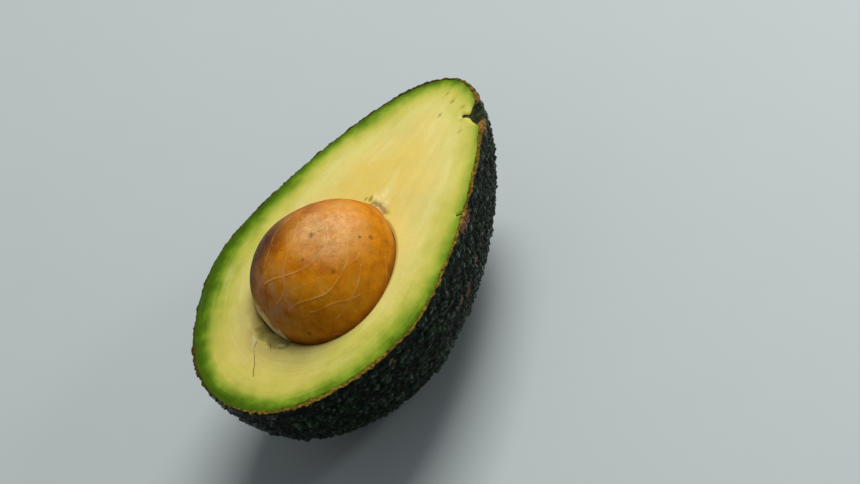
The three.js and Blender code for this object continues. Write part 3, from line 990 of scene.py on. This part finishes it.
def flesh_finish(mottle):
    """Cut flesh: green under the peel, through yellow-green to pale and then warm yellow, with strands that
    follow the outline at the blunt end and fan out in the neck.  Over that lie brown threads, pale clouds,
    brownish staining by the seed's base that is partly painted shadow of the seed, a torn ledge there, a
    brownish band and other marks at its tip, cracks, nicks and small dark specks."""
    material, nodes, shader, place = new_finish(
        "cut_flesh",
        Specular_IOR_Level=0.14,
        Subsurface_Weight=0.15,
        Subsurface_Radius=(1.0, 0.8, 0.25),
        Subsurface_Scale=2.0 * MM,
    )
    from_peel, wall = nodes.field("from_peel"), nodes.field("wall")
    fibre, fan = nodes.field("fibre", "Vector"), nodes.field("fan", "Vector")
    along_x, along_y = nodes.along(place, "X"), nodes.along(place, "Y")
    in_neck = nodes.rescale(along_x, -14 * MM, 6 * MM)

    belly = nodes.rescale(along_x, 22 * MM, -30 * MM, 2.1, 2.85)
    wander = nodes.patches(place, 70.0, 0.3, 0.7, 0.8, 1.2, detail=2)
    near = nodes.rescale(along_y, 5 * MM, -18 * MM, 1.0, 1.4)
    far = nodes.rescale(along_y, 6 * MM, 22 * MM, 1.0, 1.15)
    green_reach = nodes.times(nodes.times(belly, wander), nodes.times(near, far))

    strands = nodes.mix(
        in_neck,
        nodes.noise(nodes.stretch(fibre, (2.6, 2.6, 26.0)), 1.0, 4, 0.6),
        nodes.noise(nodes.stretch(fan, (1.0, 11.0, 1.0)), 1.0, 4, 0.6),
    )
    threads = nodes.mix(
        in_neck,
        nodes.noise(nodes.stretch(fibre, (9.0, 9.0, 60.0)), 1.0, 3, 0.6),
        nodes.noise(nodes.stretch(fan, (3.0, 42.0, 1.0)), 1.0, 3, 0.6),
    )
    pale_neck = nodes.rescale(along_x, -6 * MM, 20 * MM, 0.0, 0.35)
    pale_side = nodes.rescale(along_y, 4 * MM, -14 * MM, 0.0, 0.5)
    near_neck = nodes.times(nodes.rescale(along_x, 0.0, 24 * MM), nodes.rescale(along_y, 2 * MM, -8 * MM))
    pale_streak = nodes.times(nodes.field("streak"), nodes.patches(place, 600.0, 0.3, 0.6, 0.4))
    rank = nodes.plus(
        nodes.step("DIVIDE", from_peel, green_reach),
        nodes.rescale(strands, 0.3, 0.7, -0.10, 0.10, smooth=False),
        nodes.patches(place, 320.0, 0.3, 0.7, -0.22, 0.22, smooth=False),
        nodes.step("MAXIMUM", pale_neck, pale_side),
        nodes.plus(nodes.times(near_neck, 0.45), nodes.times(pale_streak, 0.7)),
    )
    colour = nodes.ramp(nodes.step("DIVIDE", rank, 8.0), [
        (0.00, tint(62, 86, 0)),
        (0.06, tint(66, 96, 0)),
        (0.10, tint(82, 114, 4)),
        (0.14, tint(114, 144, 26)),
        (0.19, tint(150, 170, 50)),
        (0.26, tint(188, 189, 76)),
        (0.36, tint(210, 202, 98)),
        (0.50, tint(222, 212, 124)),
        (0.70, tint(228, 210, 122)),
        (1.00, tint(230, 205, 106)),
    ])
    colour = nodes.shade(colour, nodes.rescale(strands, 0.3, 0.7, 0.955, 1.03, smooth=False))
    clouds = nodes.patches(nodes.stretch(fan, (2.6, 5.0, 1.0)), 1.0, 0.5, 0.72, 0.0, 0.36, 4, 0.6)
    ochre_bed = nodes.times(nodes.rescale(along_x, -20 * MM, -38 * MM), nodes.rescale(from_peel, 3.0, 6.0))
    colour = nodes.paint(
        colour,
        (nodes.times(nodes.rescale(threads, 0.62, 0.74), 0.16), tint(176, 158, 70)),
        (nodes.times(clouds, nodes.rescale(from_peel, 4.0, 7.0)), tint(232, 224, 154)),
        (nodes.times(ochre_bed, 0.5), tint(208, 192, 92)),
    )
    colour = nodes.group(mottle, Colour=colour, Place=place, Coarse=160.0, Fine=1300.0, Amount=0.07)

    # Brownish colour near the seed's base: partly brown flesh, partly painted shadow of the seed.
    stain_and_seed_shadow = nodes.times(nodes.field("base_near"), nodes.patches(place, 240.0, 0.25, 0.6))
    wall_tint = nodes.blend(nodes.rescale(wall, 0.0, 0.3), tint(176, 172, 104), tint(196, 176, 96))
    torn_noise = nodes.patches(place, 900.0, 0.36, 0.6, 0.3, detail=4, rough=0.6)
    ledge = nodes.times(nodes.field("ledge"), nodes.patches(place, 420.0, 0.3, 0.6, 0.45))
    torn = nodes.times(nodes.rescale(nodes.field("torn"), 0.05, 0.8, 0.0, 0.75), torn_noise)
    tip_marks = nodes.field("tip_marks", "Vector")
    tip_brown_band, tip_pale, tip_green = (nodes.along(tip_marks, axis) for axis in "XYZ")
    crack_line = nodes.rescale(nodes.step("ABSOLUTE", nodes.field("crack_gap")), 0.17, 0.05)
    crack_fade = nodes.patches(place, 500.0, 0.3, 0.6, 0.35, 0.9, detail=2)
    crack = nodes.times(nodes.rescale(nodes.field("crack"), 0.0, 0.7), crack_fade, crack_line)
    specks = nodes.times(nodes.rescale(nodes.field("specks"), 0.1, 1.0, 0.0, 0.62),
                         nodes.patches(place, 1300.0, 0.35, 0.6, 0.15))
    colour = nodes.paint(
        colour,
        (nodes.times(stain_and_seed_shadow, 0.55), tint(176, 150, 92)),
        (nodes.rescale(wall, 0.0, 0.04), wall_tint),
        (nodes.times(ledge, 0.7), tint(142, 134, 58)),
        (torn, tint(216, 208, 154)),
        (nodes.times(tip_pale, nodes.times(torn_noise, 0.85)), tint(244, 232, 172)),
        (nodes.rescale(nodes.times(tip_brown_band, torn_noise), 0.1, 0.75, 0.0, 0.75), tint(150, 118, 76)),
        (nodes.rescale(tip_green, 0.1, 0.8, 0.0, 0.85), tint(160, 146, 26)),
        (crack, tint(112, 76, 26)),
        (nodes.rescale(nodes.field("nick"), 0.35, 0.65), tint(40, 36, 8)),
        (specks, tint(126, 118, 44)),
        (nodes.rescale(nodes.field("bowl"), 0.25, 0.75), tint(82, 96, 22)),
    )
    nodes.feed(shader.inputs["Base Color"], colour)
    nodes.feed(shader.inputs["Roughness"], nodes.patches(place, 420.0, 0.3, 0.7, 0.34, 0.52, detail=4))
    height = nodes.plus(nodes.times(threads, 0.6), nodes.times(nodes.noise(place, 2200.0), 0.4))
    nodes.relief(shader, height, 0.15, 0.2 * MM)
    return material


def seed_finish(mottle, flecks):
    """The seed's coat: orange-brown, darker maroon towards one side, partly pigment and partly painted shade,
    a little darker towards the base as painted shade, pale on top with a painted highlight, painted shade
    where it meets the flesh, with pores, tan veins that fade in and out, a grey bloom near the base and a
    pale lip round its flat."""
    material, nodes, shader, place = new_finish(
        "seed_coat",
        Specular_IOR_Level=0.09,
        Coat_Weight=0.03,
        Coat_Roughness=0.3,
    )
    own = nodes.field("own", "Vector")
    vein, strength, past, tip_near = map(nodes.field, ("vein", "vein_strength", "past_base", "tip_near"))

    clouds = nodes.noise(own, 5.0, 4, 0.6)
    coat = nodes.ramp(clouds, [
        (0.28, tint(160, 84, 2)),
        (0.42, tint(190, 108, 2)),
        (0.52, tint(206, 126, 4)),
        (0.64, tint(206, 134, 18)),
        (0.78, tint(216, 152, 50)),
    ])
    # Darker maroon on one side of the seed: partly pigment, partly painted shade.
    maroon_and_shaded_side = nodes.rescale(nodes.along(own, "Y"), -0.04, 0.24, 0.0, 0.95)
    base_half = nodes.rescale(tip_near, 0.68, 0.48, 0.3, 1.0)
    # A pale patch on the seed's top, broken by fine grain: a painted highlight.
    top_highlight = nodes.times(nodes.field("top_highlight"), nodes.patches(own, 7.0, 0.3, 0.62, 0.35, detail=4))
    highlight_grain = nodes.patches(own, 44.0, 0.36, 0.62, 0.55, 1.0, 4, 0.65)
    coat = nodes.paint(
        coat,
        # Painted shade: a little darker towards the base.
        (nodes.rescale(tip_near, 0.5, 0.34, 0.0, 0.06), tint(92, 42, 3)),
        (nodes.times(maroon_and_shaded_side, base_half), tint(70, 28, 2)),
        (nodes.times(top_highlight, highlight_grain, 0.8), tint(236, 190, 126)),
    )
    coat = nodes.group(mottle, Colour=coat, Place=place, Coarse=420.0, Fine=2400.0, Amount=0.26)

    pores = nodes.group(flecks, Place=place, Scale=620.0, Size=0.24, Share=0.16)
    grains = nodes.group(flecks, Place=place, Scale=1000.0, Size=0.34, Share=0.2)
    # Painted shade on the seed just above the cut face, where it meets the flesh.
    contact_shade = nodes.rescale(nodes.along(place, "Z"), FACE + 2.4 * MM, FACE - 0.5 * MM, 0.0, 0.6)
    fading = nodes.patches(own, 9.0, 0.35, 0.6, 0.25, 1.0, detail=2)
    line = nodes.times(nodes.rescale(vein, 0.28, 0.03), nodes.times(strength, fading))
    webbing = nodes.put("ShaderNodeTexVoronoi", {"Vector": own, "Scale": 9.0}, feature="DISTANCE_TO_EDGE")
    web = nodes.rescale(webbing.outputs["Distance"], 0.03, 0.0, 0.0, 0.12)
    dusty = nodes.times(nodes.field("bloom"), nodes.patches(place, 420.0, 0.38, 0.66, detail=4))
    ragged_past = nodes.plus(past, nodes.patches(place, 500.0, 0.3, 0.7, -0.5, 0.5))
    lip = nodes.times(nodes.rescale(ragged_past, -1.8, -0.7), nodes.rescale(past, 0.7, 0.3))
    broken = nodes.patches(place, 1400.0, 0.38, 0.6, 0.15)
    coat = nodes.paint(
        coat,
        (nodes.times(pores, 0.4), tint(104, 56, 18)),
        (nodes.times(grains, 0.3), tint(236, 186, 120)),
        (contact_shade, tint(100, 48, 8)),
        (nodes.times(line, 0.62), tint(226, 174, 106)),
        (nodes.times(web, nodes.rescale(clouds, 0.4, 0.6)), tint(214, 164, 108)),
        (nodes.times(dusty, 0.62), tint(178, 148, 124)),
        (nodes.rescale(past, 0.3, 0.6), tint(150, 78, 40)),
        (nodes.times(lip, 0.9), tint(246, 226, 168)),
        (nodes.times(nodes.rescale(nodes.field("spot"), 0.1, 1.0, 0.0, 0.7), broken), tint(100, 56, 20)),
    )
    nodes.feed(shader.inputs["Base Color"], coat)

    gloss = nodes.patches(place, 900.0, 0.3, 0.7, 0.36, 0.52)
    nodes.feed(shader.inputs["Roughness"], nodes.mix(dusty, gloss, 0.75))
    height = nodes.plus(nodes.times(nodes.noise(place, 1500.0, 4, 0.6), 0.5), nodes.times(line, 0.8))
    nodes.relief(shader, height, 0.4, 0.15 * MM)
    return material


def floor_finish(mottle):
    """A plain pale table top, faintly blue, with a very slight unevenness."""
    material, nodes, shader, place = new_finish("pale_table", Roughness=0.5, Specular_IOR_Level=0.3)
    colour = nodes.group(mottle, Colour=tint(190, 199, 201), Place=place, Coarse=9.0, Fine=60.0, Amount=0.015)
    nodes.feed(shader.inputs["Base Color"], colour)
    return material


# ------------------------ floor, light, camera

FLOOR_REACH = 4.0
LIGHT_AT = Vector((0, 0, FACE))
CAMERA_AIM = Vector((6.04, -21.36, FACE / MM)) * MM
CAMERA_AZIMUTH = math.radians(-25.88)
CAMERA_ELEVATION = math.radians(44.60)
CAMERA_ROLL = math.radians(-36.83)
CAMERA_DISTANCE = 678.2 * MM
CAMERA_LENS = 125.9


def make_floor(finish):
    """One wide flat sheet at the height that the fruit stands on."""
    corners = [(x * FLOOR_REACH, y * FLOOR_REACH, 0) for x, y in ((-1, -1), (1, -1), (1, 1), (-1, 1))]
    mesh = bpy.data.meshes.new("table_top")
    mesh.from_pydata(corners, [], [(0, 1, 2, 3)])
    mesh.materials.append(finish)
    floor = bpy.data.objects.new("table_top", mesh)
    bpy.context.scene.collection.objects.link(floor)


def soft_light(name, direction, distance, size, power, colour):
    """A square soft light, so far from the fruit in a direction and turned to face it."""
    lamp = bpy.data.lights.new(name, "AREA")
    lamp.shape = "SQUARE"
    lamp.size = size
    lamp.energy = power
    lamp.color = colour
    holder = bpy.data.objects.new(name, lamp)
    away = Vector(direction).normalized()
    holder.location = LIGHT_AT + away * distance
    holder.rotation_mode = "QUATERNION"
    holder.rotation_quaternion = (-away).to_track_quat("-Z", "Y")
    bpy.context.scene.collection.objects.link(holder)


def make_light():
    """A wide soft light from above the stem end, a weak one from the near side, and even light all round."""
    soft_light("overhead", (0.64, 0.08, 0.70), distance=1.3, size=0.75, power=18.0, colour=(1.0, 0.985, 0.95))
    soft_light("near_side", (0.62, -0.66, 0.42), distance=0.9, size=0.14, power=1.0, colour=(0.95, 1.0, 1.0))
    world = bpy.data.worlds.new("studio")
    world.use_nodes = True
    background = world.node_tree.nodes["Background"]
    background.inputs["Color"].default_value = (0.93, 0.97, 1.0, 1.0)
    background.inputs["Strength"].default_value = 0.18
    bpy.context.scene.world = world
    bpy.context.scene.view_settings.view_transform = "Standard"


def make_camera():
    """A long lens that looks down on the cut face, rolled so that the stem end is up and to the right."""
    a, e, r = CAMERA_AZIMUTH, CAMERA_ELEVATION, CAMERA_ROLL
    back = Vector((math.sin(a) * math.cos(e), -math.cos(a) * math.cos(e), math.sin(e)))
    level = Vector((math.cos(a), math.sin(a), 0))
    upright = back.cross(level)
    right = level * math.cos(r) + upright * math.sin(r)
    up = upright * math.cos(r) - level * math.sin(r)
    lens = bpy.data.cameras.new("camera")
    lens.lens = CAMERA_LENS
    lens.sensor_width = 36
    lens.clip_start = 0.01
    camera = bpy.data.objects.new("camera", lens)
    turned = Matrix((right, up, back)).transposed().to_4x4()
    camera.matrix_world = Matrix.Translation(CAMERA_AIM + back * CAMERA_DISTANCE) @ turned
    bpy.context.scene.collection.objects.link(camera)
    bpy.context.scene.camera = camera


# ------------------------ the whole

def main():
    """Camera and light, then each piece with its finish, in place of its CAD node."""
    make_camera()
    make_light()
    mottle, flecks = mottle_group(), flecks_group()
    make_floor(floor_finish(mottle))
    pieces = [
        (make_peel(), peel_finish(mottle, flecks), "skin"),
        (make_flesh(), flesh_finish(mottle), "flesh"),
        (make_seed(), seed_finish(mottle, flecks), "seed"),
    ]
    for piece, finish, node in pieces:
        piece.data.materials.append(finish)
        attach(piece, "root")
        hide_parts(node)


main()
